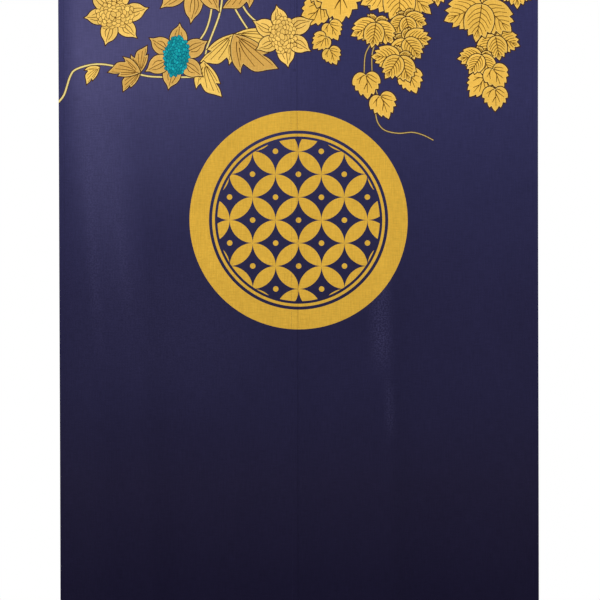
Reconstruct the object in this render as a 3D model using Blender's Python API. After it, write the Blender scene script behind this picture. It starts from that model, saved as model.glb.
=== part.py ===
# Two-panel noren curtain, as it hangs from its top edge.
# Metres, +Z up. The origin is the middle of the top edge and the printed face looks along -Y.
# Each panel is one cloth with its hems. The left panel laps over the right one down the middle:
# the lap is sewn shut at the top and is a free slit below that.

from collections import namedtuple

import bmesh
import bpy
import math

# Driving dimensions of the cloth
CLOTH_WIDTH = 0.850
CLOTH_LENGTH = 1.500
CLOTH_THICK = 0.0010
HEM_THICK = 0.0013

# Width of each turned and stitched hem, and of the step where its fold ends
SIDE_HEM = 0.012
TOP_HEM = 0.040
BOTTOM_HEM = 0.025
HEM_STEP = 0.001

# The middle lap: where the left panel's edge runs, how far the right panel reaches behind it,
# how much air is between them, and how far down the lap is sewn
LAP_LINE = -0.003
LAP = 0.008
LAP_AIR = 0.0004
SEWN_LENGTH = 0.300

# How the right panel comes forward again beside the lap, how far the slit's edges part at the
# bottom, and how the left panel's free edge lifts
LAP_EASE = 0.060
SLIT_PART = 0.003
EDGE_LIFT = 0.0008
EDGE_LIFT_WIDTH = 0.012

# The side edges don't hang quite plumb: sideways drift at the bottom hem
LEFT_EDGE_DRIFT = 0.0065
RIGHT_EDGE_DRIFT = 0.0024

# The folds are this much deeper at the bottom than at the top
FOLD_GROWTH = 0.5

# Largest size of one cell of the panels' grid, across and down
CELL_ACROSS = 0.0145
CELL_DOWN = 0.056

# Soft hanging folds. across: middle of the fold at the top edge; lean: its sideways run per metre
# down; half_width; depth: positive towards the viewer; starts, full: distances below the top edge
Fold = namedtuple("Fold", "across lean half_width depth starts full")
FOLDS = (
    Fold(-0.425, 0.000, 0.034, -0.0055, 0.02, 0.45),
    Fold(-0.368, 0.020, 0.036, 0.0060, 0.00, 0.40),
    Fold(-0.305, 0.034, 0.026, 0.0040, 0.05, 0.50),
    Fold(-0.215, 0.012, 0.052, -0.0062, 0.10, 0.70),
    Fold(-0.110, -0.010, 0.046, 0.0052, 0.15, 0.90),
    Fold(0.040, 0.006, 0.044, -0.0048, 0.12, 0.80),
    Fold(0.140, 0.016, 0.030, 0.0072, 0.20, 0.75),
    Fold(0.232, -0.012, 0.048, -0.0060, 0.10, 0.85),
    Fold(0.340, 0.014, 0.040, 0.0058, 0.04, 0.50),
    Fold(0.425, 0.000, 0.030, -0.0040, 0.06, 0.60),
)

PANEL_COLOUR = (0.020, 0.019, 0.060, 1.0)
PANEL_ROUGHNESS = 0.6

# Faces that meet at more than this angle, in degrees, keep a sharp edge
SHARP_ANGLE = 40.0


def smooth_step(value):
    """0 below 0, 1 above 1, and an even curve between."""
    share = min(max(value, 0.0), 1.0)
    return share * share * (3.0 - 2.0 * share)


def fold_depth(across, down):
    """How far the cloth stands towards the viewer because of its folds."""
    growth = 1.0 + FOLD_GROWTH * down / CLOTH_LENGTH
    total = 0.0
    for fold in FOLDS:
        off_centre = (across - fold.across - fold.lean * down) / fold.half_width
        rise = smooth_step((down - fold.starts) / (fold.full - fold.starts))
        total += fold.depth * rise * growth * math.exp(-off_centre * off_centre)
    return total


def left_lap_depth(across):
    """The left panel's inner edge lifts a little towards the viewer."""
    off_edge = (across - LAP_LINE) / EDGE_LIFT_WIDTH
    return EDGE_LIFT * math.exp(-off_edge * off_edge)


def right_lap_depth(across, down):
    """The right panel passes behind the left one's hem, and comes level again beside it."""
    parted = SLIT_PART * smooth_step((down - SEWN_LENGTH) / (CLOTH_LENGTH - SEWN_LENGTH))
    behind = HEM_THICK + LAP_AIR + parted
    return -behind * (1.0 - smooth_step((across - LAP_LINE) / LAP_EASE))


def hung_point(across, down, lap_depth):
    """Where a point of the flat cloth's printed face is when the curtain hangs."""
    share = across / CLOTH_WIDTH + 0.5
    drift = LEFT_EDGE_DRIFT * (1.0 - share) + RIGHT_EDGE_DRIFT * share
    sideways = drift * smooth_step(down / CLOTH_LENGTH)
    return (across + sideways, -fold_depth(across, down) - lap_depth, -down)


def stations(start, end, hem_at_start, hem_at_end, largest):
    """Grid lines from start to end, with a pair at each hem's step and even cells between."""
    inner_start = start + hem_at_start + HEM_STEP
    inner_end = end - hem_at_end - HEM_STEP
    cells = math.ceil((inner_end - inner_start) / largest)
    between = [inner_start + (inner_end - inner_start) * k / cells for k in range(cells + 1)]
    return [start, start + hem_at_start, *between, end - hem_at_end, end]


def make_panel(name, left_edge, right_edge, lap_depth_at):
    """One hemmed cloth: a grid laid in the folds, thickened towards the back."""
    columns = stations(left_edge, right_edge, SIDE_HEM, SIDE_HEM, CELL_ACROSS)
    rows = stations(0.0, CLOTH_LENGTH, TOP_HEM, BOTTOM_HEM, CELL_DOWN)

    mesh = bpy.data.meshes.new(name)
    grid = bmesh.new()
    bmesh.ops.create_grid(grid, x_segments=len(columns) - 1, y_segments=len(rows) - 1, size=0.5)
    hem_points = []
    grid.verts.index_update()
    for vertex in grid.verts:
        across = columns[round((vertex.co.x + 0.5) * (len(columns) - 1))]
        down = rows[round((0.5 - vertex.co.y) * (len(rows) - 1))]
        in_side_hem = across <= columns[1] or across >= columns[-2]
        in_end_hem = down <= rows[1] or down >= rows[-2]
        if in_side_hem or in_end_hem:
            hem_points.append(vertex.index)
        vertex.co = hung_point(across, down, lap_depth_at(across, down))
    grid.to_mesh(mesh)
    grid.free()

    panel = bpy.data.objects.new(name, mesh)
    bpy.context.scene.collection.objects.link(panel)
    hem = panel.vertex_groups.new(name="hem")
    hem.add(hem_points, 1.0, "REPLACE")
    thickness = panel.modifiers.new("Cloth thickness", "SOLIDIFY")
    thickness.thickness = HEM_THICK
    thickness.offset = -1.0
    thickness.vertex_group = hem.name
    thickness.thickness_vertex_group = CLOTH_THICK / HEM_THICK
    mesh.shade_smooth()
    mesh.set_sharp_from_angle(angle=math.radians(SHARP_ANGLE))
    mesh.materials.append(cloth_material())
    return panel


def cloth_material():
    """Dyed indigo polyester cloth."""
    name = "indigo_cloth"
    material = bpy.data.materials.get(name)
    if material is None:
        material = bpy.data.materials.new(name)
        material.use_nodes = True
        shader = material.node_tree.nodes["Principled BSDF"]
        shader.inputs["Base Color"].default_value = PANEL_COLOUR
        shader.inputs["Roughness"].default_value = PANEL_ROUGHNESS
        shader.inputs["Metallic"].default_value = 0.0
    return material


def clear_scene():
    for old in list(bpy.data.objects):
        bpy.data.objects.remove(old)


def main():
    clear_scene()
    make_panel(
        "panel_left",
        -CLOTH_WIDTH / 2,
        LAP_LINE,
        lambda across, down: left_lap_depth(across),
    )
    make_panel(
        "panel_right",
        LAP_LINE - LAP,
        CLOTH_WIDTH / 2,
        right_lap_depth,
    )


main()
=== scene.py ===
import math
from collections import namedtuple

import bpy
import numpy as np
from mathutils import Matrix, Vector
from mathutils.geometry import delaunay_2d_cdt


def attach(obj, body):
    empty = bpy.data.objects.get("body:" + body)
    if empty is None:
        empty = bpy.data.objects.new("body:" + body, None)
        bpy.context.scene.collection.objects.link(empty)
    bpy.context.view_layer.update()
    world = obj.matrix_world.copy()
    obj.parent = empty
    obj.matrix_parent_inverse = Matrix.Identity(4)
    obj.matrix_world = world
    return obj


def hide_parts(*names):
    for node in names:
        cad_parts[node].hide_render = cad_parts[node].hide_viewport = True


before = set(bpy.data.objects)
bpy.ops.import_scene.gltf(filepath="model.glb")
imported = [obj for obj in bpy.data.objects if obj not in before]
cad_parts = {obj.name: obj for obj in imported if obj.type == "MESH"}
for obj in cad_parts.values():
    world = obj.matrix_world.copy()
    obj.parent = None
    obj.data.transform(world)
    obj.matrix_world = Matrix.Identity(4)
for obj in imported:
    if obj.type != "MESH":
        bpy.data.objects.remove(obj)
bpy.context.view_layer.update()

# Camera
# The curtain is seen square on and from far off, so that its sides stay parallel. The view is 1.065 m
# high: it cuts the top 0.18 m and the bottom 0.26 m of the cloth, as in the photograph.
VIEW_HEIGHT = 1.0647
VIEW_CENTRE = Vector((0.0036, 0.0, -0.7098))
CAMERA_DISTANCE = 3.4
SENSOR = 0.036
FARTHEST_SEEN = 50.0

camera_data = bpy.data.cameras.new("camera")
camera_data.sensor_width = SENSOR * 1000
camera_data.lens = SENSOR * 1000 * CAMERA_DISTANCE / VIEW_HEIGHT
camera_data.clip_end = FARTHEST_SEEN
camera = bpy.data.objects.new("camera", camera_data)
camera.location = VIEW_CENTRE - Vector((0.0, CAMERA_DISTANCE, 0.0))
camera.rotation_euler = (math.radians(90.0), 0.0, 0.0)
bpy.context.scene.collection.objects.link(camera)
bpy.context.scene.camera = camera
bpy.context.scene.view_settings.view_transform = "Standard"

# Print: how the printer's shapes are drawn
# The cloth is printed flat, before it is cut and hemmed, with gold on dyed indigo. Every shape lies in
# the flat curtain's own plane: x to the right of the middle, z up from the top edge, so z is negative.
# Later shapes cover earlier ones, as colours laid on top of each other would.
Printed = namedtuple("Printed", "outline colour inside")
printed_shapes = []


def ink(red, green, blue):
    """A printing colour, mixed as it looks on screen, in the linear values that a finish takes."""
    return tuple(((part / 255 + 0.055) / 1.055) ** 2.4 for part in (red, green, blue))


GOLD_FLAT = ink(218, 172, 63)
GOLD_LEAF = ink(243, 193, 84)
GOLD_PALE = ink(246, 202, 100)
GOLD_DULL = ink(216, 168, 84)
GOLD_PETAL = ink(250, 204, 104)
GOLD_SHADED = ink(226, 178, 92)
GOLD_RIM = ink(255, 240, 164)
GOLD_VINE = ink(236, 216, 138)
GOLD_TENDRIL = ink(196, 170, 104)
BROWN_VEIN = ink(96, 62, 16)
BROWN_OUTLINE = ink(72, 42, 12)
TEAL_SCALE = ink(24, 156, 162)
TEAL_LINE = ink(0, 96, 124)
INDIGO_GAP = None


def counter_clockwise(outline):
    """The outline with its points in counter-clockwise order."""
    points = np.asarray(outline, float)
    following = np.roll(points, -1, 0)
    turning = (points[:, 0] * following[:, 1] - following[:, 0] * points[:, 1]).sum()
    return points if turning > 0 else points[::-1]


def print_shape(outline, colour, inside=None):
    """Lays one shape on the cloth and returns its number; inside is the shape that it is cut by."""
    printed_shapes.append(Printed(counter_clockwise(outline), colour, inside))
    return len(printed_shapes) - 1


def toned(colour, amount):
    """The same ink laid a little thinner or thicker."""
    return tuple(min(part * amount, 1.0) for part in colour)


def placed(points, place, angle):
    """A shape drawn hanging from its stalk, (side, along), set at its place and swung by its angle."""
    side, along = np.asarray(points, float).T
    turn = math.radians(angle)
    x = place[0] + side * math.cos(turn) + along * math.sin(turn)
    z = place[1] + side * math.sin(turn) - along * math.cos(turn)
    return np.stack([x, z], 1)


def curve(points, steps=4):
    """A smooth line through a few points."""
    points = np.asarray(points, float)
    before = np.vstack([2 * points[:1] - points[1:2], points[:-2]])
    after = np.vstack([points[2:], 2 * points[-1:] - points[-2:-1]])
    t = np.linspace(0.0, 1.0, steps, endpoint=False)[:, None, None]
    start, end = points[:-1], points[1:]
    smooth = 0.5 * (
        2 * start
        + t * (end - before)
        + t**2 * (2 * before - 5 * start + 4 * end - after)
        + t**3 * (3 * start - before - 3 * end + after)
    )
    return np.vstack([smooth.transpose(1, 0, 2).reshape(-1, 2), points[-1:]])


def brush_line(path, width, end_width):
    """The outline of a line that runs along a path and thins from one width to another."""
    run = np.gradient(path, axis=0)
    run /= np.linalg.norm(run, axis=1)[:, None]
    side = np.stack([-run[:, 1], run[:, 0]], 1)
    half = np.linspace(width, end_width, len(path))[:, None] / 2
    return np.vstack([path + side * half, (path - side * half)[::-1]])


def grown(outline, margin):
    """An outline moved outwards by a margin, for the dark line round a shape."""
    points = counter_clockwise(outline)
    run = np.roll(points, -1, 0) - points
    run /= np.linalg.norm(run, axis=1)[:, None]
    out = np.stack([run[:, 1], -run[:, 0]], 1)
    corner = out + np.roll(out, 1, 0)
    corner /= np.linalg.norm(corner, axis=1)[:, None]
    squareness = np.maximum((corner * out).sum(1), 0.5)
    return points + corner * (margin / squareness)[:, None]


# Print: the leaves, flowers and stems
# Gold leaves and flowers hang from a branch along the top, each with brown veins, a paler rim and a
# dark outline. All of them are drawn by rule from a few points, and no two come out quite alike.
OUTLINE_WIDTH = 0.0017
RIM_WIDTH = 0.0009
RIM_SHARE = 0.30
VEIN_WIDTH = 0.0018
VEIN_END = 0.0009
FEATHER_VEIN_WIDTH = 0.0014
PETAL_VEIN_WIDTH = 0.0015
ROUND_VEIN_SHARE = 0.045
CUT_VEIN_SHARE = 0.022
TOOTH_BOW = 0.06
TOOTH_UNEVEN = 0.014
SCALE_LINE = 0.0009
SCALE_TURN = 137.5
SCALE_SWING = 55
SCALE_SLIMNESS = 0.70
SCALE_SIZES = (0.85, 1.2)
PETAL_SWING = 6
PETAL_BEND = 0.10
PETAL_LENGTHS = (0.93, 1.05)
PETAL_TONES = (0.94, 1.04)
PETAL_SHADE = 0.93
LEAF_SWING = 5
HAND_TONES = (0.92, 1.06)
STEM_WIDTH = 0.0032
TENDRIL_WIDTH = 0.0018
STEM_OUTLINE = 0.0018
STEM_OUTLINE_END = 0.0014
STEM_THINNING = 0.8
PRINT_SEED = 14

rng = np.random.default_rng(PRINT_SEED)

# Leaves, (side, along) from the stalk to the tip. Half of a round leaf and of a feather leaf: the
# smooth shoulder, then the teeth. A cut leaf's blade: stretches between its three tips and two notches
ROUND_SHOULDER = ((0.00, 0.07), (0.12, -0.03), (0.29, -0.05), (0.46, 0.06), (0.55, 0.24), (0.56, 0.42))
ROUND_TEETH = (
    (0.56, 0.42), (0.45, 0.46), (0.46, 0.64), (0.34, 0.64), (0.25, 0.86), (0.17, 0.80), (0.00, 1.04),
)
FEATHER_SHOULDER = ((0.00, 0.00), (0.16, 0.03), (0.31, 0.15), (0.40, 0.34), (0.41, 0.53), (0.36, 0.76))
FEATHER_TEETH = ((0.36, 0.76), (0.26, 0.73), (0.23, 0.91), (0.12, 0.85), (0.00, 1.05))
CUT_BLADE = (
    ((0.00, 0.00), (0.10, 0.24), (0.14, 0.48), (0.12, 0.72)),
    ((0.12, 0.72), (0.02, 0.66)),
    ((0.02, 0.66), (0.04, 0.84), (0.00, 1.05)),
    ((0.00, 1.05), (-0.13, 0.92), (-0.31, 0.74), (-0.33, 0.48)),
    ((-0.33, 0.48), (-0.42, 0.50), (-0.50, 0.55)),
    ((-0.50, 0.55), (-0.42, 0.30), (-0.20, 0.09), (0.00, 0.00)),
)
CUT_VEINS = (
    ((0.00, 0.06), (0.01, 0.45), (-0.01, 0.94)),
    ((0.02, 0.16), (0.06, 0.36), (0.08, 0.64)),
    ((-0.02, 0.14), (-0.08, 0.44), (-0.12, 0.82)),
    ((-0.05, 0.16), (-0.15, 0.36), (-0.24, 0.68)),
    ((-0.08, 0.13), (-0.22, 0.24), (-0.42, 0.48)),
    ((-0.14, 0.24), (-0.24, 0.34), (-0.32, 0.40)),
)
HALF_PETAL = (
    (0.00, 0.00), (0.12, 0.22), (0.24, 0.42), (0.27, 0.60), (0.20, 0.79), (0.06, 0.93), (0.00, 1.04),
)


def toothed(shoulder, teeth):
    """Both halves of a leaf: a smooth shoulder, then teeth, each cut straight in and bowed outwards."""
    right = list(curve(shoulder)[:-1])
    teeth = np.array(teeth) + rng.uniform(-TOOTH_UNEVEN, TOOTH_UNEVEN, (len(teeth), 2))
    teeth[-1, 0] = 0.0
    for k, (start, end) in enumerate(zip(teeth[:-1], teeth[1:])):
        right.append(start)
        if k % 2 == 1:
            run = end - start
            right.append(start + run / 2 + np.array((run[1], -run[0])) * TOOTH_BOW)
    right = np.vstack([right, teeth[-1:]])
    return np.vstack([right, right[-2:0:-1] * (-1, 1)])


def outlined(outline, colour):
    """A shape with a dark line round it and a paler rim inside the line."""
    print_shape(grown(outline, OUTLINE_WIDTH), BROWN_OUTLINE)
    print_shape(outline, tuple(part + RIM_SHARE * (pale - part) for part, pale in zip(colour, GOLD_RIM)))
    return print_shape(grown(outline, -RIM_WIDTH), colour)


def vein(points, place, angle, inside, width=VEIN_WIDTH):
    """A brown line on a leaf, thinner towards its end."""
    path = placed(curve(points, 3), place, angle)
    print_shape(brush_line(path, width, min(width, VEIN_END)), BROWN_VEIN, inside)


def round_leaf(place, angle, size, colour):
    """A broad leaf with toothed lobes and forked veins."""
    blade = outlined(placed(toothed(ROUND_SHOULDER, ROUND_TEETH) * size, place, angle), colour)
    lean = rng.uniform(-0.04, 0.04)
    for points in (
        ((0.00, 0.03), (0.03, 0.30), (lean, 0.78)),
        ((0.00, 0.03), (0.14, 0.20), (0.40, 0.40)),
        ((0.00, 0.03), (-0.15, 0.10), (-0.38, 0.24)),
        ((0.02, 0.22), (0.12, 0.42), (0.21, 0.62)),
        ((0.00, 0.04), (0.20, 0.08), (0.42, 0.24)),
        ((-0.17, 0.11), (-0.25, 0.24), (-0.30, 0.40)),
        ((0.02, 0.40), (-0.06, 0.52), (-0.12, 0.64)),
    ):
        vein(np.array(points) * size, place, angle, blade, ROUND_VEIN_SHARE * size)


def feather_leaf(place, angle, size, colour):
    """A leaf with teeth at its far end and slanting side veins, as on a feather."""
    blade = outlined(placed(toothed(FEATHER_SHOULDER, FEATHER_TEETH) * size, place, angle), colour)
    vein(np.array(((0.0, 0.0), (0.01, 0.5), (0.0, 0.93))) * size, place, angle, blade)
    for start in (0.10, 0.23, 0.36, 0.48, 0.60, 0.71):
        end = start + 0.34 - 0.18 * start
        reach = 0.33 * math.sin(math.pi * end**0.9)
        for side in (-1, 1):
            run = ((0.0, start), (side * reach * 0.55, start + 0.10), (side * reach, end))
            vein(np.array(run) * size, place, angle, blade, FEATHER_VEIN_WIDTH)


def hand_of_leaves(place, angle, size, colour):
    """Five feather leaves from one stalk, the middle one on top."""
    for swing, share in ((-130, 0.44), (122, 0.48), (-56, 1.03), (54, 1.01), (-2, 0.95)):
        turn = angle + swing + rng.uniform(-LEAF_SWING, LEAF_SWING)
        feather_leaf(place, turn, size * share, toned(colour, rng.uniform(*HAND_TONES)))


def cut_blade(place, angle, size, side, colour):
    """One blade of a cut leaf: a long tip, a short one on one side, a finger on the other."""
    outline = np.vstack([curve(stretch)[:-1] for stretch in CUT_BLADE]) * (side, 1)
    blade = outlined(placed(outline * size, place, angle), colour)
    width = min(VEIN_WIDTH, CUT_VEIN_SHARE * size)
    for points in CUT_VEINS:
        vein(np.array(points) * (side * size, size), place, angle, blade, width)


def cut_leaf(place, angle, size):
    """A leaf cut into three blades, light and dull."""
    cut_blade(place, angle - 54, size * 0.80, 1, GOLD_PALE)
    cut_blade(place, angle + 50, size * 0.84, -1, GOLD_DULL)
    cut_blade(place, angle, size, 1, GOLD_PALE)


# The middle of a flower, in shares of the flower's size. contrast: how much its scales' tones vary
Heart = namedtuple("Heart", "half_width half_length scales scale_size contrast")
GOLD_HEART = Heart(0.40, 0.60, 52, 0.102, 0.12)
DULL_HEART = Heart(0.30, 0.30, 40, 0.060, 0.12)
TEAL_HEART = Heart(0.39, 0.63, 96, 0.066, 0.34)
TEAL_HEART_LEAN = -8


def heart_of_scales(place, size, lean, heart, colour, line):
    """Small overlapping scales that fill the middle of a flower, from its rim inwards."""
    reach = (size * heart.half_width, size * heart.half_length)
    turns = np.linspace(0.0, 2 * math.pi, 16, endpoint=False)
    bed = np.stack([reach[0] * np.cos(turns), reach[1] * np.sin(turns)], 1) * 0.97
    print_shape(placed(bed, place, lean), line)
    turns = np.linspace(0.0, 2 * math.pi, 7, endpoint=False)
    scale_outline = np.stack([SCALE_SLIMNESS * np.sin(turns), np.cos(turns)], 1)
    for k in range(heart.scales, 0, -1):
        turn = math.radians(k * SCALE_TURN)
        share = math.sqrt((k - 0.5) / heart.scales)
        off_middle = (reach[0] * share * math.cos(turn), reach[1] * share * math.sin(turn))
        spot = placed([off_middle], place, lean)[0]
        swing = math.degrees(turn) + 90 + rng.uniform(-SCALE_SWING, SCALE_SWING)
        scale_size = size * heart.scale_size * rng.uniform(*SCALE_SIZES)
        scale = placed(scale_outline * scale_size, spot, swing)
        print_shape(grown(scale, SCALE_LINE), line)
        print_shape(scale, toned(colour, 0.98 + heart.contrast * rng.uniform(-1.0, 1.0)))


def flower(place, angle, size, petal, count=6, slimness=1.0):
    """Broad petals, each drawn out to a point that bends a little."""
    right = curve(HALF_PETAL, 4) * (slimness, 1)
    outline = np.vstack([right, right[-2:0:-1] * (-1, 1)])
    for k in (*range(0, count, 2), *range(1, count, 2)):
        turn = angle + 360 / count * k + rng.uniform(-PETAL_SWING, PETAL_SWING)
        length = size * rng.uniform(*PETAL_LENGTHS)
        bend = rng.uniform(-PETAL_BEND, PETAL_BEND)
        tone = toned(petal, rng.uniform(*PETAL_TONES))
        bent = outline + np.outer(outline[:, 1] ** 3, (bend, 0))
        blade = outlined(placed(bent * length, place, turn), tone)
        shaded = np.array(((0.0, 0.3), (0.02, 0.7), (bend, 1.0), (0.4, 0.8), (0.4, 0.3))) * length
        print_shape(placed(shaded, place, turn), toned(tone, PETAL_SHADE), blade)
        for points in (
            ((0.00, 0.30), (0.01, 0.65), (0.85 * bend, 0.94)),
            ((0.06 * slimness, 0.35), (0.13 * slimness, 0.62), (0.06 + 0.6 * bend, 0.84)),
            ((-0.05 * slimness, 0.45), (-0.11 * slimness, 0.62), (-0.06 + 0.5 * bend, 0.78)),
        ):
            vein(np.array(points) * length, place, turn, blade, PETAL_VEIN_WIDTH)


def stem(points, width=STEM_WIDTH, colour=GOLD_VINE):
    """A stem with a dark line on both sides."""
    path = curve(np.array(points) * (1, -1))
    print_shape(brush_line(path, width + STEM_OUTLINE, width + STEM_OUTLINE_END), BROWN_OUTLINE)
    print_shape(brush_line(path, width, width * STEM_THINNING), colour)


# Stems: (across, down) from the middle of the top edge
for stem_points in (
    ((-0.440, 0.060), (-0.350, 0.092), (-0.240, 0.066), (-0.120, 0.094), (0.0, 0.064), (0.110, 0.090),
     (0.230, 0.062), (0.330, 0.092), (0.440, 0.066)),
    ((-0.430, 0.362), (-0.416, 0.345), (-0.405, 0.313), (-0.393, 0.300), (-0.358, 0.292), (-0.322, 0.296),
     (-0.276, 0.311), (-0.240, 0.314), (-0.180, 0.314)),
    ((-0.160, 0.090), (-0.153, 0.150), (-0.154, 0.196), (-0.163, 0.230), (-0.177, 0.252)),
    ((-0.140, 0.092), (-0.134, 0.150), (-0.138, 0.197), (-0.153, 0.240), (-0.162, 0.263), (-0.166, 0.286)),
    ((-0.132, 0.092), (-0.126, 0.150), (-0.114, 0.187), (-0.103, 0.208), (-0.086, 0.234)),
    ((-0.112, 0.092), (-0.108, 0.150), (-0.100, 0.183), (-0.085, 0.206), (-0.060, 0.226)),
    ((0.046, 0.072), (0.066, 0.120), (0.060, 0.180), (0.054, 0.262)),
    ((0.150, 0.084), (0.180, 0.150), (0.190, 0.207), (0.192, 0.250), (0.182, 0.280), (0.192, 0.305)),
    ((0.318, 0.090), (0.330, 0.140), (0.328, 0.185), (0.350, 0.242), (0.330, 0.274), (0.346, 0.334)),
):
    stem(stem_points)
for tendril in (
    ((0.128, 0.256), (0.119, 0.276), (0.117, 0.308)),
    ((0.136, 0.256), (0.131, 0.276), (0.131, 0.308)),
    ((0.137, 0.334), (0.142, 0.350)),
    ((0.136, 0.372), (0.141, 0.395), (0.154, 0.409), (0.178, 0.414), (0.202, 0.412), (0.222, 0.417),
     (0.240, 0.426)),
):
    stem(tendril, TENDRIL_WIDTH, GOLD_TENDRIL)

# Leaves and flowers, from the back to the front. across, down: where the stalk joins, or a flower's
# middle; angle: 0 hangs straight down and more swings to the right; size: from the stalk to the tip.
# A blade's finger is on its left or right, and a gold flower's heart is longest along its angle
Motif = namedtuple("Motif", "kind across down angle size")
MOTIFS = (
    Motif("cut", -0.392, 0.086, -22, 0.066),
    Motif("cut", -0.262, 0.074, 14, 0.064),
    Motif("gold flower", -0.330, 0.097, 13, 0.050),
    Motif("cut", -0.060, 0.080, -8, 0.066),
    Motif("round", 0.018, 0.070, -30, 0.050),
    Motif("hand", 0.112, 0.088, 16, 0.054),
    Motif("round", 0.200, 0.066, 12, 0.048),
    Motif("hand", 0.282, 0.078, -16, 0.056),
    Motif("round", 0.366, 0.078, 22, 0.048),
    Motif("hand", 0.388, 0.142, 2, 0.051),
    Motif("hand", 0.247, 0.142, 2, 0.046),
    Motif("round", 0.130, 0.150, 0, 0.044),
    Motif("round", 0.042, 0.187, -46, 0.045),
    Motif("round", 0.048, 0.142, -16, 0.050),
    Motif("round", 0.073, 0.150, 0, 0.068),
    Motif("round", 0.055, 0.218, 27, 0.033),
    Motif("round", 0.050, 0.242, -47, 0.031),
    Motif("round", 0.055, 0.264, 25, 0.030),
    Motif("hand", 0.181, 0.149, -4, 0.072),
    Motif("hand", 0.191, 0.208, 14, 0.037),
    Motif("hand", 0.138, 0.218, -10, 0.045),
    Motif("round", 0.194, 0.304, 22, 0.040),
    Motif("hand", 0.190, 0.247, 36, 0.044),
    Motif("hand", 0.180, 0.278, -34, 0.046),
    Motif("round", 0.120, 0.308, 4, 0.044),
    Motif("round", 0.145, 0.346, 20, 0.043),
    Motif("hand", 0.350, 0.242, 16, 0.044),
    Motif("hand", 0.326, 0.185, -9, 0.0675),
    Motif("round", 0.330, 0.316, -38, 0.040),
    Motif("hand", 0.325, 0.276, -30, 0.039),
    Motif("round", 0.344, 0.298, 28, 0.041),
    Motif("round", 0.349, 0.334, 0, 0.040),
    Motif("dull flower", -0.186, 0.141, 0, 0.073),
    Motif("dull blade right", -0.085, 0.142, -44, 0.066),
    Motif("pale blade left", -0.111, 0.237, 88, 0.074),
    Motif("pale blade right", -0.115, 0.238, -50, 0.073),
    Motif("dull blade left", -0.114, 0.238, 52, 0.094),
    Motif("pale blade left", -0.168, 0.286, 27, 0.067),
    Motif("dull blade left", -0.280, 0.306, -42, 0.043),
    Motif("dull blade right", -0.280, 0.306, 166, 0.046),
    Motif("dull blade left", -0.280, 0.306, -90, 0.054),
    Motif("pale blade left", -0.352, 0.297, -37, 0.036),
    Motif("gold flower", -0.325, 0.204, -80, 0.055),
    Motif("teal flower", -0.216, 0.277, -10, 0.056),
    Motif("gold flower", -0.027, 0.240, 6, 0.0545),
)
for motif in MOTIFS:
    place = (motif.across, -motif.down)
    if motif.kind == "round":
        round_leaf(place, motif.angle, motif.size, toned(GOLD_LEAF, rng.uniform(0.94, 1.03)))
    elif motif.kind == "hand":
        hand_of_leaves(place, motif.angle, motif.size, GOLD_LEAF)
    elif motif.kind == "cut":
        cut_leaf(place, motif.angle, motif.size)
    elif "blade" in motif.kind:
        colour = GOLD_PALE if "pale" in motif.kind else GOLD_DULL
        cut_blade(place, motif.angle, motif.size, 1 if "left" in motif.kind else -1, colour)
    elif motif.kind == "gold flower":
        flower(place, motif.angle, motif.size, GOLD_PETAL)
        heart_of_scales(place, motif.size, motif.angle, GOLD_HEART, GOLD_PETAL, BROWN_VEIN)
    elif motif.kind == "dull flower":
        flower(place, motif.angle, motif.size, GOLD_SHADED, 8, 0.80)
        heart_of_scales(place, motif.size, motif.angle, DULL_HEART, GOLD_SHADED, BROWN_VEIN)
    else:
        flower(place, motif.angle, motif.size, GOLD_SHADED)
        heart_of_scales(place, motif.size, TEAL_HEART_LEAN, TEAL_HEART, TEAL_SCALE, TEAL_LINE)

# Print: the roundel
# A wide gold ring and a narrow one hold a field of interlocking circles, a pattern of pointed gold
# ovals with a dot in each gap. One flat gold, with no outline.
ROUNDEL_CENTRE = (0.0, -0.568)
RING_OUTER = 0.1940
RING_WIDTH = 0.0350
RING_GAP = 0.0055
INNER_RING_WIDTH = 0.005
FIELD_GAP = 0.0045
OVALS_ACROSS = 5
LATTICE_LEAN = 45.0
DOT_SHARE = 0.085
DOT_POINTS = 20


def round_outline(radius, centre, points=128):
    """A circle as an even ring of points."""
    turn = np.linspace(0.0, 2 * math.pi, points, endpoint=False)
    return np.stack([centre[0] + radius * np.cos(turn), centre[1] + radius * np.sin(turn)], 1)


def oval_outline(start, end):
    """A pointed oval between two crossings: where two neighbouring circles overlap."""
    run = (end - start) / 2
    half = np.linalg.norm(run)
    radius = half * math.sqrt(2)
    turn = np.linspace(-math.pi / 4, math.pi / 4, 13)
    side = radius * np.cos(turn) - half
    along = radius * np.sin(turn)
    along_way = run / half
    side_way = np.array([-along_way[1], along_way[0]])
    middle = (start + end) / 2
    right = middle + along[:, None] * along_way + side[:, None] * side_way
    left = middle + along[::-1, None] * along_way - side[::-1, None] * side_way
    return np.vstack([right, left[1:-1]])


inner_ring_radius = RING_OUTER - RING_WIDTH - RING_GAP
field_radius = inner_ring_radius - INNER_RING_WIDTH - FIELD_GAP
print_shape(round_outline(RING_OUTER, ROUNDEL_CENTRE), GOLD_FLAT)
print_shape(round_outline(RING_OUTER - RING_WIDTH, ROUNDEL_CENTRE), INDIGO_GAP)
print_shape(round_outline(inner_ring_radius, ROUNDEL_CENTRE), GOLD_FLAT)
print_shape(round_outline(inner_ring_radius - INNER_RING_WIDTH, ROUNDEL_CENTRE), INDIGO_GAP)
field = print_shape(round_outline(field_radius, ROUNDEL_CENTRE), INDIGO_GAP)
oval_length = 2 * field_radius / OVALS_ACROSS
lattice = [k - OVALS_ACROSS / 2 for k in range(-1, OVALS_ACROSS + 2)]
lean = math.radians(LATTICE_LEAN)
across_way = np.array([math.cos(lean), math.sin(lean)]) * oval_length
up_way = np.array([-math.sin(lean), math.cos(lean)]) * oval_length
roundel_centre = np.array(ROUNDEL_CENTRE)
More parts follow.
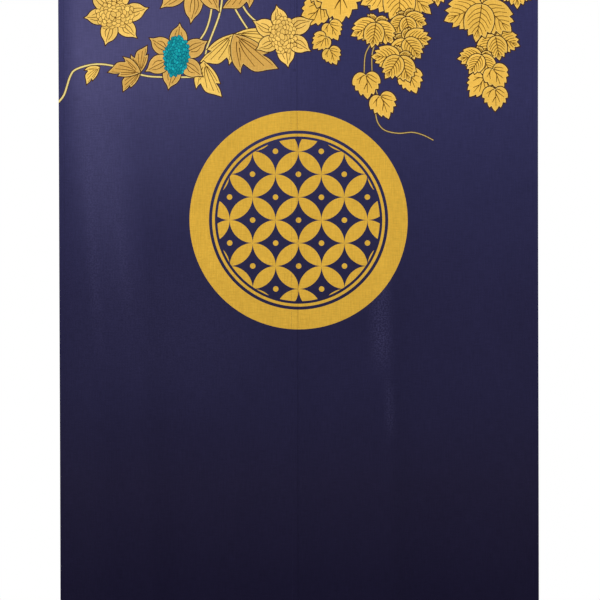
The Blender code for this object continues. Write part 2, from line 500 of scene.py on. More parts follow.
for i in lattice:
    for j in lattice:
        crossing = roundel_centre + i * across_way + j * up_way
        for way in (across_way, up_way):
            middle = crossing + way / 2 - roundel_centre
            if np.linalg.norm(middle) < field_radius + oval_length / 2:
                print_shape(oval_outline(crossing, crossing + way), GOLD_FLAT, field)
        gap_middle = crossing + (across_way + up_way) / 2
        if np.linalg.norm(gap_middle - roundel_centre) < field_radius + oval_length / 2:
            print_shape(round_outline(oval_length * DOT_SHARE, gap_middle, DOT_POINTS), GOLD_FLAT, field)

# Cloth: the two panels as they hang
# Two lengths of slub-woven polyester, hemmed all round and hung by the top edge. The left panel laps
# over the right one: the lap is sewn at the top and free below. Soft folds run down the cloth.
CLOTH_WIDTH = 0.852
CLOTH_LENGTH = 1.500
CLOTH_THICK = 0.0002
HEM_THICK = 0.0004
SIDE_HEM = 0.012
TOP_HEM = 0.040
BOTTOM_HEM = 0.025
HEM_STEP = 0.0009
LAP_LINE = -0.003
LAP = 0.008
LAP_SET_BACK = 0.0005
SEWN_LENGTH = 0.300
LAP_EASE = 0.060
SLIT_PART = 0.0002
EDGE_LIFT = 0.0003
EDGE_LIFT_WIDTH = 0.012
LEFT_EDGE_DRIFT = 0.0038
RIGHT_EDGE_DRIFT = 0.0024
FOLD_GROWTH = 0.5

# across: middle of the fold at the top edge; lean: its sideways run per metre down; depth: positive
# towards the viewer; starts, full: distances below the top edge
Fold = namedtuple("Fold", "across lean half_width depth starts full")
FOLDS = (
    Fold(-0.425, 0.000, 0.034, -0.0055, 0.02, 0.45),
    Fold(-0.368, 0.020, 0.036, 0.0060, 0.00, 0.40),
    Fold(-0.305, 0.034, 0.026, 0.0040, 0.05, 0.50),
    Fold(-0.215, 0.012, 0.052, -0.0062, 0.10, 0.70),
    Fold(-0.110, -0.010, 0.046, 0.0052, 0.15, 0.90),
    Fold(0.040, 0.006, 0.044, -0.0048, 0.12, 0.80),
    Fold(0.140, 0.016, 0.030, 0.0072, 0.20, 0.75),
    Fold(0.232, -0.012, 0.048, -0.0060, 0.10, 0.85),
    Fold(0.340, 0.014, 0.040, 0.0058, 0.04, 0.50),
    Fold(0.425, 0.000, 0.030, -0.0040, 0.06, 0.60),
)

# The slighter creases, which come and go down the cloth
Crease = namedtuple("Crease", "across lean half_width depth middle reach")
CREASES = (
    Crease(-0.372, 0.010, 0.0070, 0.0007, 0.72, 0.17),
    Crease(-0.331, 0.016, 0.0060, 0.0006, 0.66, 0.10),
    Crease(-0.392, 0.000, 0.0090, -0.0006, 0.42, 0.16),
    Crease(-0.348, 0.020, 0.0080, 0.0008, 0.42, 0.20),
    Crease(0.128, 0.020, 0.0060, 0.0009, 0.78, 0.18),
    Crease(0.152, 0.014, 0.0050, 0.0006, 0.72, 0.14),
    Crease(0.388, -0.004, 0.0080, 0.0007, 0.34, 0.18),
    Crease(0.408, 0.006, 0.0060, -0.0005, 0.50, 0.20),
    Crease(-0.160, 0.010, 0.0080, -0.0006, 1.00, 0.25),
    Crease(0.070, -0.012, 0.0070, 0.0006, 1.10, 0.25),
    Crease(0.250, 0.010, 0.0080, 0.0006, 1.05, 0.30),
    Crease(-0.270, -0.010, 0.0080, 0.0006, 1.15, 0.28),
)

# The small upright puckers above the roundel, on either side of the seam
PUCKER_PITCH = 0.0142
PUCKER_DEPTH = 0.00060
PUCKER_MIDDLE = (0.006, 0.332)
PUCKER_REACH = (0.075, 0.030)

STITCH_INSET = 0.0022
STITCH_GROOVE = 0.00018
STITCH_GROOVE_WIDTH = 0.0011
EDGE_ROLL = 0.0001
EDGE_ROLL_WIDTH = 0.0012
HEM_PUCKER = 0.00014
HEM_PUCKER_PITCHES = (0.0167, 0.0241, 0.0385)
HEM_PUCKER_REACH = 0.6 * SIDE_HEM
SIDE_PUCKER_SHIFT = 40.0
TOP_PUCKER_SHIFT = 1.3
BOTTOM_PUCKER_SHIFT = 3.3
NORMAL_REACH = 0.0003

Panel = namedtuple("Panel", "name left right")
PANELS = (
    Panel("panel_left", -CLOTH_WIDTH / 2, LAP_LINE),
    Panel("panel_right", LAP_LINE - LAP, CLOTH_WIDTH / 2),
)


def smooth_step(value):
    """0 below 0, 1 above 1, and an even curve between."""
    share = np.clip(value, 0.0, 1.0)
    return share * share * (3.0 - 2.0 * share)


def bell(value):
    """1 at 0, and down to nothing on both sides."""
    return np.exp(-value * value)


def fold_depth(across, down):
    """How far the cloth stands towards the viewer because of its folds and creases."""
    growth = 1.0 + FOLD_GROWTH * down / CLOTH_LENGTH
    total = np.zeros_like(across)
    for fold in FOLDS:
        off_centre = (across - fold.across - fold.lean * down) / fold.half_width
        rise = smooth_step((down - fold.starts) / (fold.full - fold.starts))
        total += fold.depth * rise * growth * bell(off_centre)
    for crease in CREASES:
        off_centre = (across - crease.across - crease.lean * down) / crease.half_width
        total += crease.depth * bell(off_centre) * bell((down - crease.middle) / crease.reach)
    near_puckers = bell((across - PUCKER_MIDDLE[0]) / PUCKER_REACH[0])
    near_puckers *= bell((down - PUCKER_MIDDLE[1]) / PUCKER_REACH[1])
    return total + near_puckers * PUCKER_DEPTH * np.cos(2 * math.pi * across / PUCKER_PITCH)


def lap_depth(panel, across, down):
    """The left panel's free edge lifts; the right panel passes behind it and comes level beside it."""
    if panel.name == "panel_left":
        return EDGE_LIFT * bell((across - LAP_LINE) / EDGE_LIFT_WIDTH)
    parted = SLIT_PART * smooth_step((down - SEWN_LENGTH) / (CLOTH_LENGTH - SEWN_LENGTH))
    return -(LAP_SET_BACK + parted) * (1.0 - smooth_step((across - LAP_LINE) / LAP_EASE))


def seam_relief(from_edge, along, hem, shift):
    """The groove that a row of stitches pulls into a hem, its puckers and the rolled edge."""
    off_row = (from_edge - hem + STITCH_INSET) / STITCH_GROOVE_WIDTH
    puckers = sum(np.sin(2 * math.pi * along / pitch + shift) for pitch in HEM_PUCKER_PITCHES)
    near_row = bell((from_edge - hem + STITCH_INSET) / HEM_PUCKER_REACH)
    rolled = bell(from_edge / EDGE_ROLL_WIDTH)
    return HEM_PUCKER * puckers * near_row / 2 - STITCH_GROOVE * bell(off_row) - EDGE_ROLL * rolled


def face_point(panel, across, down):
    """Where a point of the flat cloth's printed face is when the curtain hangs."""
    share = across / CLOTH_WIDTH + 0.5
    drift = LEFT_EDGE_DRIFT * (1.0 - share) + RIGHT_EDGE_DRIFT * share
    sideways = drift * smooth_step(down / CLOTH_LENGTH)
    depth = fold_depth(across, down) + lap_depth(panel, across, down)
    depth += seam_relief(across - panel.left, down, SIDE_HEM, SIDE_PUCKER_SHIFT * panel.left)
    depth += seam_relief(panel.right - across, down, SIDE_HEM, SIDE_PUCKER_SHIFT * panel.right)
    depth += seam_relief(down, across, TOP_HEM, TOP_PUCKER_SHIFT)
    depth += seam_relief(CLOTH_LENGTH - down, across, BOTTOM_HEM, BOTTOM_PUCKER_SHIFT)
    return np.stack([across + sideways, -depth, -down], 1)


def face_normal(panel, across, down):
    """The direction that the printed face looks in."""
    right, left = across + NORMAL_REACH, across - NORMAL_REACH
    below, above = down + NORMAL_REACH, down - NORMAL_REACH
    run_across = face_point(panel, right, down) - face_point(panel, left, down)
    run_down = face_point(panel, across, below) - face_point(panel, across, above)
    out = np.cross(run_down, run_across)
    return out / np.linalg.norm(out, axis=1)[:, None]


def from_hem(panel, across, down):
    """How far a point is inside the nearest turned hem; below 0 it is in that hem."""
    return np.minimum.reduce([
        across - panel.left - SIDE_HEM,
        panel.right - across - SIDE_HEM,
        down - TOP_HEM,
        CLOTH_LENGTH - down - BOTTOM_HEM,
    ])


def thickness(panel, across, down):
    """The cloth, or the three layers of a hem, with the turned edge's step between them."""
    return HEM_THICK - (HEM_THICK - CLOTH_THICK) * smooth_step(from_hem(panel, across, down) / HEM_STEP)


# Cloth: cutting and hanging one panel
# The print's outlines cut the panel's face into triangles, each of one colour, so that every edge of
# the print is sharp. The triangles are then laid in the folds, and again behind them for the back.
CELL_ACROSS = 0.0070
CELL_DOWN = 0.0125
HEM_ROW = 0.0042
HEM_LINES = (0.0, 0.0005, 0.0014, 0.0035, 0.0065)
STITCH_LINES = (-0.0022, -0.0011, 0.0, 0.0011)
PAST_HEM = 0.005
NEAR_DUPLICATE = 1e-5


def hem_lines(hem):
    """Distances from an edge where the cloth's shape changes: the roll, the stitches and the turned edge."""
    row = hem - STITCH_INSET
    return [*HEM_LINES, *(row + step for step in STITCH_LINES), hem, hem + HEM_STEP, hem + PAST_HEM]


def evenly(start, end, step):
    """Even places between two ends, without the ends, about a step apart."""
    return np.linspace(start, end, round((end - start) / step) + 1)[1:-1]


def cut_points(panel):
    """Points of the panel's face, closer together along the hems."""
    side_lines = np.array(hem_lines(SIDE_HEM))
    end_rows = np.concatenate([hem_lines(TOP_HEM), CLOTH_LENGTH - np.array(hem_lines(BOTTOM_HEM))])
    inner_top, inner_bottom = TOP_HEM + PAST_HEM, CLOTH_LENGTH - BOTTOM_HEM - PAST_HEM
    inner_rows = evenly(inner_top, inner_bottom, CELL_DOWN)
    close_rows = evenly(inner_top, inner_bottom, HEM_ROW)
    columns = evenly(panel.left + side_lines[-1], panel.right - side_lines[-1], CELL_ACROSS)
    edge_columns = np.concatenate([panel.left + side_lines, panel.right - side_lines])
    grids = (
        (edge_columns, np.concatenate([end_rows, close_rows])),
        (columns, np.concatenate([end_rows, inner_rows])),
    )
    return np.vstack([np.stack(np.meshgrid(x, y), -1).reshape(-1, 2) for x, y in grids]) * (1, -1)


def frame_lines(panel):
    """The straight lines that no triangle may cross: the panel's edges and both sides of each hem's step."""
    ends = []
    for side, top, bottom in (
        (0.0, 0.0, 0.0),
        (SIDE_HEM, TOP_HEM, BOTTOM_HEM),
        (SIDE_HEM + HEM_STEP, TOP_HEM + HEM_STEP, BOTTOM_HEM + HEM_STEP),
    ):
        left, right, low = panel.left + side, panel.right - side, bottom - CLOTH_LENGTH
        corners = ((left, -top), (right, -top), (right, low), (left, low))
        ends += [(corners[k], corners[(k + 1) % 4]) for k in range(4)]
    return np.array(ends)


def covered(points, outline):
    """The numbers of the points that lie inside an outline."""
    near = np.flatnonzero(((points >= outline.min(0)) & (points <= outline.max(0))).all(1))
    x, y = points[near, 0, None], points[near, 1, None]
    start, end = outline, np.roll(outline, -1, 0)
    left_of = (end[:, 0] - start[:, 0]) * (y - start[:, 1]) - (x - start[:, 0]) * (end[:, 1] - start[:, 1])
    upwards = (start[:, 1] <= y) & (end[:, 1] > y) & (left_of > 0)
    downwards = (start[:, 1] > y) & (end[:, 1] <= y) & (left_of < 0)
    return near[upwards.sum(1) != downwards.sum(1)]


def shapes_on_top(points):
    """The number of the printed shape that shows at each point, or -1 where the cloth is bare."""
    shown = np.full(len(points), -1)
    for number, shape in enumerate(printed_shapes):
        under = covered(points, shape.outline)
        if shape.inside is not None:
            under = under[covered(points[under], printed_shapes[shape.inside].outline)]
        shown[under] = number
    return shown


def seen_edges():
    """The edges of the printed shapes, as pairs of ends, without those that a later shape hides."""
    low = np.array([shape.outline.min(0) for shape in printed_shapes])
    high = np.array([shape.outline.max(0) for shape in printed_shapes])
    whole = np.array([shape.inside is None for shape in printed_shapes])
    edges = []
    for number, shape in enumerate(printed_shapes):
        meets = ((low <= high[number]) & (high >= low[number])).all(1) & whole
        meets[:number + 1] = False
        hidden = np.zeros(len(shape.outline), bool)
        for later in np.flatnonzero(meets):
            under = np.zeros(len(shape.outline), bool)
            under[covered(shape.outline, printed_shapes[later].outline)] = True
            hidden |= under & np.roll(under, -1)
        edges.append(np.stack([shape.outline, np.roll(shape.outline, -1, 0)], 1)[~hidden])
    return np.vstack(edges)


print_edges = seen_edges()


def cut_panel(panel):
    """The flat panel in triangles, and the number of the printed shape that shows on each."""
    low, high = np.array((panel.left, -CLOTH_LENGTH)), np.array((panel.right, 0.0))
    here = (print_edges[:, :, 0].max(1) > low[0]) & (print_edges[:, :, 0].min(1) < high[0])
    edges = np.vstack([frame_lines(panel), print_edges[here]])
    grid = cut_points(panel)
    flat = [Vector(point) for point in np.vstack([grid, edges.reshape(-1, 2)])]
    joined = [(len(grid) + 2 * k, len(grid) + 2 * k + 1) for k in range(len(edges))]
    cut, _, triangles, _, _, _ = delaunay_2d_cdt(flat, joined, [], 0, NEAR_DUPLICATE, False)
    cut, triangles = np.array([tuple(point) for point in cut]), np.array(triangles)
    middles = cut[triangles].mean(1)
    on_panel = ((middles > low) & (middles < high)).all(1)
    used, kept = np.unique(triangles[on_panel], return_inverse=True)
    return cut[used], kept.reshape(-1, 3), shapes_on_top(middles[on_panel])


def rim_edges(triangles):
    """The triangles' edges that no other triangle shares, and the triangle that each belongs to."""
    edges = np.vstack([triangles[:, (0, 1)], triangles[:, (1, 2)], triangles[:, (2, 0)]])
    _, place, uses = np.unique(np.sort(edges, 1), axis=0, return_inverse=True, return_counts=True)
    alone = np.flatnonzero(uses[place.ravel()] == 1)
    return edges[alone], alone % len(triangles)


def hang_panel(panel):
    """The hung panel: printed face, back and cut edge in one closed mesh."""
    flat, triangles, shown = cut_panel(panel)
    across, down = flat[:, 0], -flat[:, 1]
    front = face_point(panel, across, down)
    normal = face_normal(panel, across, down)
    back = front - normal * thickness(panel, across, down)[:, None]
    count = len(flat)
    rim, rim_owner = rim_edges(triangles)
    rim_quads = np.stack([rim[:, 1], rim[:, 0], rim[:, 0] + count, rim[:, 1] + count], 1)
    faces = [*triangles.tolist(), *(triangles[:, ::-1] + count).tolist(), *rim_quads.tolist()]
    mesh = bpy.data.meshes.new(panel.name + "_cloth")
    mesh.from_pydata(np.vstack([front, back]).tolist(), [], faces)

    out = np.vstack([normal, -normal])
    corner = np.zeros(len(mesh.loops), np.int32)
    mesh.loops.foreach_get("vertex_index", corner)
    corner_normal = out[corner]
    rim_normal = np.cross(front[rim[:, 1]] - front[rim[:, 0]], normal[rim[:, 0]])
    rim_normal /= np.linalg.norm(rim_normal, axis=1)[:, None]
    rim_corners = 6 * len(triangles)
    corner_normal[rim_corners:] = np.repeat(rim_normal, 4, 0)
    mesh.shade_smooth()
    mesh.normals_split_custom_set(corner_normal.tolist())

    inks = np.zeros((len(printed_shapes) + 1, 4), np.float32)
    for number, shape in enumerate(printed_shapes):
        if shape.colour is not None:
            inks[number] = (*shape.colour, 1.0)
    face_ink = inks[shown]
    side_ink = np.repeat(face_ink, 3, 0)
    corner_ink = np.vstack([side_ink, side_ink, np.repeat(face_ink[rim_owner], 4, 0)])
    mesh.attributes.new("ink", "FLOAT_COLOR", "CORNER").data.foreach_set("color", corner_ink.ravel())
    flat_place = np.stack([across, down, np.zeros(count)], 1)
    both = np.vstack([flat_place, flat_place]).astype(np.float32)
    mesh.attributes.new("flat", "FLOAT_VECTOR", "POINT").data.foreach_set("vector", both.ravel())
    corners = flat[triangles]
    middle = corners.mean(1)
    single = (from_hem(panel, middle[:, 0], -middle[:, 1]) > HEM_STEP / 2).astype(np.float32)
    wrong_side = np.zeros(len(corner), np.float32)
    wrong_side[3 * len(triangles):rim_corners] = np.repeat(single, 3)
    mesh.attributes.new("wrong_side", "FLOAT", "CORNER").data.foreach_set("value", wrong_side)

    cloth = bpy.data.objects.new(panel.name + "_cloth", mesh)
    bpy.context.scene.collection.objects.link(cloth)
    return cloth


# Cloth: its dye, painted light and weave
# Indigo that is lighter at the top, with gold printed over it. A pool of light at the upper left and
# highlight streaks down the folds are painted into the indigo, and painted shade darkens the gold
# towards the bottom. Thick and thin threads run both ways, and the print has soaked through to a
# paler back.
class Wire:
    """A socket of a finish. Sums, differences and products of it are Math nodes."""

    def __init__(self, finish, socket):
        self.finish = finish
        self.socket = socket

    def __add__(self, other):
        return self.finish.math("ADD", self, other)

    __radd__ = __add__

    def __mul__(self, other):
        return self.finish.math("MULTIPLY", self, other)

    __rmul__ = __mul__

    def __sub__(self, other):
        return self.finish.math("SUBTRACT", self, other)

    def __rsub__(self, other):
        return self.finish.math("SUBTRACT", other, self)


class Finish:
    """A material, wired node by node."""

    def __init__(self, name):
        self.material = bpy.data.materials.new(name)
        self.material.use_nodes = True
        self.tree = self.material.node_tree
        self.shader = self.tree.nodes["Principled BSDF"]

    def feed(self, socket, value):
        if isinstance(value, Wire):
            self.tree.links.new(value.socket, socket)
        else:
            socket.default_value = value

    def node(self, kind, settings, sockets, output=0):
        """Adds a node: its settings first, then the values or links of its sockets."""
        node = self.tree.nodes.new(kind)
        for name, value in settings.items():
            if name == "stops":
                set_stops(node.color_ramp, value)
            else:
                setattr(node, name, value)
        for name, value in sockets.items():
            self.feed(node.inputs[name], value)
        return Wire(self, node.outputs[output])

    def math(self, operation, first, second):
        return self.node("ShaderNodeMath", {"operation": operation}, {0: first, 1: second})

    def mix(self, share, first, second, blend="MIX"):
        """The second colour laid over the first one by a share."""
        settings = {"data_type": "RGBA", "blend_type": blend}
        return self.node("ShaderNodeMix", settings, {0: share, 6: first, 7: second}, 2)

    def range(self, value, low, high, start=0.0, end=1.0):
        """A value that goes softly from start to end as another goes from low to high."""
        sockets = {"Value": value, 1: low, 2: high, 3: start, 4: end}
        return self.node("ShaderNodeMapRange", {"interpolation_type": "SMOOTHSTEP"}, sockets)


def set_stops(ramp, stops):
    """Sets a ramp's places and colours."""
    while len(ramp.elements) < len(stops):
        ramp.elements.new(0.5)
    for element, (place, colour) in zip(ramp.elements, stops):
        element.position = place
        element.color = (*colour, 1.0)


INDIGO_DOWN = (
    (0.000, ink(53, 53, 96)),
    (0.225, ink(51, 50, 89)),
    (0.340, ink(43, 42, 76)),
    (0.470, ink(37, 35, 65)),
    (0.580, ink(34, 32, 60)),
    (0.690, ink(30, 27, 51)),
    (0.810, ink(22, 19, 42)),
    (1.000, ink(15, 12, 31)),
)
# Painted light: a pool of lamp light and sheen painted into the indigo as a lighter indigo. It is lightest
# at the upper left, fades downwards and to the right, and is held back at the very left edge.
PAINTED_LIGHT_INDIGO = ink(92, 89, 132)
PAINTED_HAZE_ACROSS = (0.10, -0.34)
PAINTED_HAZE_DOWN = (0.70, 0.20)
PAINTED_HAZE_SHARE = 0.36
PAINTED_TOP_HAZE_DOWN = (0.42, 0.22)
PAINTED_TOP_HAZE_SHARE = 0.21
PAINTED_LIGHT_EDGE_FADE = (-0.425, -0.385, 0.2, 1.0)

# Painted highlights: faint lighter streaks, painted where threads would catch the light down the folds.
# across: the middle at the top edge; lean: its sideways run per metre down; the streak starts at one
# distance down, is full at the next and fades from the third. speckle: how far single threads break it up
PaintedStreak = namedtuple("PaintedStreak", "across lean half_width starts full fades ends share speckle")
PAINTED_STREAKS = (
    PaintedStreak(-0.230, 0.000, 0.300, 0.58, 0.70, 0.76, 0.96, 0.042, 0.4),
    PaintedStreak(-0.394, 0.100, 0.070, 0.20, 0.36, 0.50, 0.80, 0.145, 0.22),
    PaintedStreak(-0.402, 0.060, 0.018, 0.40, 0.48, 0.66, 0.86, 0.045, 0.6),
    PaintedStreak(-0.382, 0.110, 0.016, 0.48, 0.60, 0.66, 0.78, 0.028, 0.6),
    PaintedStreak(0.124, 0.028, 0.030, 0.62, 0.70, 0.78, 0.86, 0.085, 1.0),
    PaintedStreak(0.135, 0.028, 0.014, 0.83, 0.88, 0.92, 0.97, 0.050, 1.0),
)
BACK_PALE = ink(150, 146, 172)
BACK_SHARE = 0.30
INK_WARM = (0.97, 0.93, 0.88)
INK_WARMTH = 0.6
# Painted shade: the gold print is laid darker towards the bottom, where the lamp's light falls off.
PAINTED_INK_SHADE_DOWN = (0.60, 0.76)
PAINTED_INK_SHADE = 0.07
SLUB_SHADE = 0.30
CLOUD_SHADE = 0.12
SLUB_GLOSS = 0.12
CLOTH_ROUGHNESS = 0.68

# Uneven places: how many to a metre across, how many down, and how finely each is broken up
WEFT = (55.0, 620.0, 2.0)
WARP = (560.0, 38.0, 2.0)
CLOUD = (14.0, 9.0, 3.0)
# The painted glint that breaks up the painted highlight streaks.
PAINTED_GLINT_SPECKLE = (330.0, 420.0, 2.0)
BLOTCH = (230.0, 260.0, 2.0)
# The painted glint's range, for the painted highlight streaks.
PAINTED_GLINT_RANGE = (0.40, 0.60, -1.3, 1.3)
BLOTCH_RANGE = (0.40, 0.66)
THREAD_PITCH = 0.0007
WEAVE_HEIGHT = 0.00008
SLUB_HEIGHT = 0.00025


def cloth_finish():
    """The dyed and printed cloth: every layer of colour, painted light and shade among them, then its gloss
    and weave.
    """
    finish = Finish("printed_indigo_cloth")
    place = finish.node("ShaderNodeAttribute", {"attribute_name": "flat"}, {}, 1)
    across = finish.node("ShaderNodeSeparateXYZ", {}, {0: place}, 0)
    down = finish.node("ShaderNodeSeparateXYZ", {}, {0: place}, 1)
    printed = finish.node("ShaderNodeAttribute", {"attribute_name": "ink"}, {}, 0)
    cover = finish.node("ShaderNodeAttribute", {"attribute_name": "ink"}, {}, 3)
    wrong_side = finish.node("ShaderNodeAttribute", {"attribute_name": "wrong_side"}, {}, 2)

    def threads(scale_across, scale_down, detail):
        """Uneven thick and thin places of the threads that run one way."""
        stretched = finish.node(
            "ShaderNodeVectorMath",
            {"operation": "MULTIPLY"},
            {0: place, 1: (scale_across, scale_down, 1.0)},
        )
        sockets = {"Vector": stretched, "Scale": 1.0, "Detail": detail}
        return finish.node("ShaderNodeTexNoise", {"noise_dimensions": "2D"}, sockets)

    cloud = threads(*CLOUD)
    slub = threads(*WEFT) + threads(*WARP) - 1.0

    dyed = finish.node("ShaderNodeValToRGB", {"stops": INDIGO_DOWN}, {0: down * (1 / CLOTH_LENGTH)})
    # Painted light: the pool of light at the upper left, fading downwards and to the right.
    painted_haze = finish.range(down, *PAINTED_HAZE_DOWN) * PAINTED_HAZE_SHARE + finish.range(down, *PAINTED_TOP_HAZE_DOWN) * PAINTED_TOP_HAZE_SHARE
    painted_light_share = painted_haze * finish.range(across, *PAINTED_HAZE_ACROSS)
    # Painted highlights: lighter streaks down the folds, broken up by a painted glint.
    painted_glint = finish.range(threads(*PAINTED_GLINT_SPECKLE), *PAINTED_GLINT_RANGE)
    for painted_streak in PAINTED_STREAKS:
        off_middle = finish.math("ABSOLUTE", across - painted_streak.across - down * painted_streak.lean, 0.0)
        begins = finish.range(down, painted_streak.starts, painted_streak.full)
        ends = finish.range(down, painted_streak.ends, painted_streak.fades)
        painted_highlight = finish.range(off_middle, painted_streak.half_width, 0.0) * (painted_glint * painted_streak.speckle + 1.0)
        painted_light_share = painted_light_share + painted_highlight * begins * ends * painted_streak.share
    # The painted light is mixed into the dyed indigo here, held back at the left edge.
    dyed = finish.mix(painted_light_share * finish.range(across, *PAINTED_LIGHT_EDGE_FADE), dyed, (*PAINTED_LIGHT_INDIGO, 1.0))
    blotch = finish.range(threads(*BLOTCH), *BLOTCH_RANGE) * INK_WARMTH
    printed = finish.mix(blotch, printed, (*INK_WARM, 1.0), "MULTIPLY")
    # Painted shade: the gold print darkens towards the bottom.
    printed = finish.mix(finish.range(down, *PAINTED_INK_SHADE_DOWN) * PAINTED_INK_SHADE, printed, (0.0, 0.0, 0.0, 1.0))
    front = finish.mix(cover, dyed, printed)
    uneven = slub * SLUB_SHADE + (cloud - 0.5) * CLOUD_SHADE + 1.0
    grey = finish.node("ShaderNodeCombineXYZ", {}, {0: uneven, 1: uneven, 2: uneven})
    front = finish.mix(1.0, front, grey, "MULTIPLY")
    colour = finish.mix(wrong_side * BACK_SHARE, front, (*BACK_PALE, 1.0))
    finish.feed(finish.shader.inputs["Base Color"], colour)
    finish.feed(finish.shader.inputs["Roughness"], CLOTH_ROUGHNESS - slub * SLUB_GLOSS)

    def thread_wave(distance):
        return finish.math("SINE", distance * (2 * math.pi / THREAD_PITCH), 0.0)

    weave = thread_wave(across) * thread_wave(down)
    height = weave * WEAVE_HEIGHT + slub * SLUB_HEIGHT
    bump = finish.node("ShaderNodeBump", {}, {"Strength": 1.0, "Distance": 1.0, "Height": height})
    finish.feed(finish.shader.inputs["Normal"], bump)
    finish.shader.inputs["Specular IOR Level"].default_value = 0.03
    finish.shader.inputs["Sheen Weight"].default_value = 0.02
    finish.shader.inputs["Sheen Roughness"].default_value = 0.5
    return finish.material


printed_cloth = cloth_finish()
for panel in PANELS:
    cloth = hang_panel(panel)
    cloth.data.materials.append(printed_cloth)
    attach(cloth, "root")
    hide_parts(panel.name)

# Sewing: the hems and the seam
# Navy polyester thread. One row of stitches holds each hem, one more joins the lap down to the slit,
# and short rows across the lap's end keep the slit from tearing. Every stitch is a small bead of
# thread that sinks into the cloth at both ends.
STITCH_PITCH = 0.0032
STITCH_LENGTH = 0.0027
THREAD_THICK = 0.00030
STITCH_SIDES = 4
ROW_END = 0.004
SEAM_INSET = 0.0035
TACK_ROWS = 6
TACK_PITCH = 0.0008
TACK_REACH = (0.0075, 0.0005)
SIDE_ALLOWANCES = 0.040
END_ALLOWANCES = 0.085
THREAD_COLOUR = ink(30, 28, 58)
THREAD_TONES = (0.7, 1.5)
THREAD_TWIST = 2500.0


def bead():
    """One stitch, lying along x, with z away from the cloth."""
    rings = ((-1.0, 0.3), (-0.5, 1.0), (0.5, 1.0), (1.0, 0.3))
    turn = np.linspace(0.0, 2 * math.pi, STITCH_SIDES, endpoint=False)
    points = [
        (x * STITCH_LENGTH / 2, size * THREAD_THICK / 2 * math.cos(a), size * THREAD_THICK / 2 * math.sin(a))
        for x, size in rings
        for a in turn
    ]
    faces = [
        (r * STITCH_SIDES + k, (r + 1) * STITCH_SIDES + k, (r + 1) * STITCH_SIDES + (k + 1) % STITCH_SIDES,
         r * STITCH_SIDES + (k + 1) % STITCH_SIDES)
        for r in range(len(rings) - 1)
        for k in range(STITCH_SIDES)
    ]
    last = (len(rings) - 1) * STITCH_SIDES
    faces.append(tuple(range(STITCH_SIDES)))
    faces.append(tuple(last + k for k in reversed(range(STITCH_SIDES))))
    return np.array(points), faces


def stitched(name, panel, rows):
    """Stitches along rows of the flat panel, on its face and on its back, as one mesh."""
    shape, shape_faces = bead()
    points, faces = [], []
    for start, end in rows:
        start, end = np.array(start), np.array(end)
        length = np.linalg.norm(end - start)
        count = round(length / STITCH_PITCH)
        spots = start + (end - start) * ((np.arange(count) + 0.5) / count)[:, None]
        reach = (end - start) / length * STITCH_PITCH / 2
        across, down = spots[:, 0], spots[:, 1]
        middle = face_point(panel, across, down)
        out = face_normal(panel, across, down)
        ahead = face_point(panel, across + reach[0], down + reach[1])
        behind = face_point(panel, across - reach[0], down - reach[1])
        run = (ahead - behind) / np.linalg.norm(ahead - behind, axis=1)[:, None]
        thick = thickness(panel, across, down)[:, None]
        for place, away in ((middle, out), (middle - out * thick, -out)):
            side = np.cross(away, run)
            first = sum(len(p) for p in points)
            spread = (
                place[:, None]
                + shape[None, :, 0, None] * run[:, None]
                + shape[None, :, 1, None] * side[:, None]
                + shape[None, :, 2, None] * away[:, None]
            )
            points.append(spread.reshape(-1, 3))
            for k in range(count):
                base = first + k * len(shape)
                faces += [tuple(base + v for v in face) for face in shape_faces]
    mesh = bpy.data.meshes.new(name)
    mesh.from_pydata(np.vstack(points).tolist(), [], faces)
    mesh.shade_smooth()
    thread = bpy.data.objects.new(name, mesh)
    bpy.context.scene.collection.objects.link(thread)
    return thread


def thread_finish():
    """Twisted thread, lighter and darker along its plies."""
    finish = Finish("navy_thread")
    coordinates = finish.node("ShaderNodeTexCoord", {}, {}, 3)
    sockets = {"Vector": coordinates, "Scale": THREAD_TWIST, "Detail": 1.0}
    twist = finish.node("ShaderNodeTexNoise", {}, sockets)
    dark, light = (toned(THREAD_COLOUR, tone) for tone in THREAD_TONES)
    colour = finish.mix(twist, (*dark, 1.0), (*light, 1.0))
    finish.feed(finish.shader.inputs["Base Color"], colour)
    finish.feed(finish.shader.inputs["Roughness"], 0.5 + twist * 0.2)
    finish.shader.inputs["Specular IOR Level"].default_value = 0.15
    return finish.material


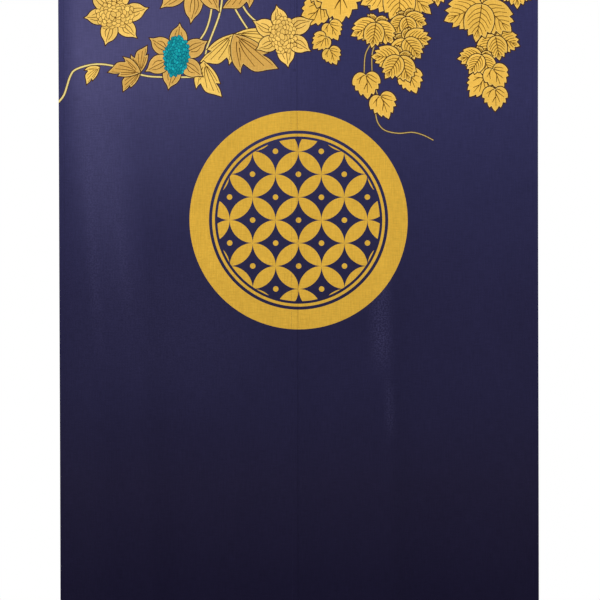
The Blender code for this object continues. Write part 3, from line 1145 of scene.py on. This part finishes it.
thread_material = thread_finish()
for panel in PANELS:
    row = SIDE_HEM - STITCH_INSET
    top_row, bottom_row = TOP_HEM - STITCH_INSET, CLOTH_LENGTH - BOTTOM_HEM + STITCH_INSET
    left_row, right_row = panel.left + row, panel.right - row
    first, last = panel.left + ROW_END, panel.right - ROW_END
    rows = [
        ((left_row, ROW_END), (left_row, CLOTH_LENGTH - ROW_END)),
        ((right_row, ROW_END), (right_row, CLOTH_LENGTH - ROW_END)),
        ((first, top_row), (last, top_row)),
        ((first, bottom_row), (last, bottom_row)),
    ]
    if panel.name == "panel_left":
        seam = LAP_LINE - SEAM_INSET
        rows.append(((seam, ROW_END), (seam, SEWN_LENGTH)))
        for tack in range(TACK_ROWS):
            below = SEWN_LENGTH + TACK_PITCH * tack
            rows.append(((LAP_LINE - TACK_REACH[0], below), (LAP_LINE - TACK_REACH[1], below)))
    thread = stitched(panel.name + "_stitching", panel, rows)
    thread.data.materials.append(thread_material)
    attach(thread, "root")

for panel in PANELS:
    cut_size = (panel.right - panel.left + SIDE_ALLOWANCES, CLOTH_LENGTH + END_ALLOWANCES)

# Studio
# A pale floor well below the hem, a white surround, and one large soft lamp at the upper left that
# grazes the cloth and brings out its folds.
FLOOR_DROP = 2.0
FLOOR_SIZE = 6.0
FLOOR_COLOUR = (0.80, 0.80, 0.80, 1.0)
SURROUND_LIGHT = 0.86
KEY_PLACE = Vector((-1.8, -5.6, 0.9))
KEY_SIZE = 2.4
KEY_POWER = 84.0

bpy.ops.object.select_all(action="DESELECT")
bpy.ops.mesh.primitive_plane_add(size=FLOOR_SIZE, location=(0.0, 0.0, -FLOOR_DROP))
floor = bpy.context.active_object
floor.name = "floor"
floor_finish = Finish("pale_floor")
floor_finish.shader.inputs["Base Color"].default_value = FLOOR_COLOUR
floor_finish.shader.inputs["Roughness"].default_value = 0.9
floor.data.materials.append(floor_finish.material)

key_data = bpy.data.lights.new("key", "AREA")
key_data.energy = KEY_POWER
key_data.size = KEY_SIZE
key = bpy.data.objects.new("key", key_data)
key.location = KEY_PLACE
key.rotation_euler = (VIEW_CENTRE - KEY_PLACE).to_track_quat("-Z", "Y").to_euler()
bpy.context.scene.collection.objects.link(key)

world = bpy.data.worlds.new("white surround")
bpy.context.scene.world = world
world.use_nodes = True
surround = world.node_tree.nodes["Background"]
seen = world.node_tree.nodes.new("ShaderNodeLightPath")
strength = world.node_tree.nodes.new("ShaderNodeMapRange")
strength.inputs["To Min"].default_value = SURROUND_LIGHT
strength.inputs["To Max"].default_value = 1.0
surround.inputs["Color"].default_value = (1.0, 1.0, 1.0, 1.0)
world.node_tree.links.new(seen.outputs["Is Camera Ray"], strength.inputs["Value"])
world.node_tree.links.new(strength.outputs["Result"], surround.inputs["Strength"])

bpy.context.view_layer.update()
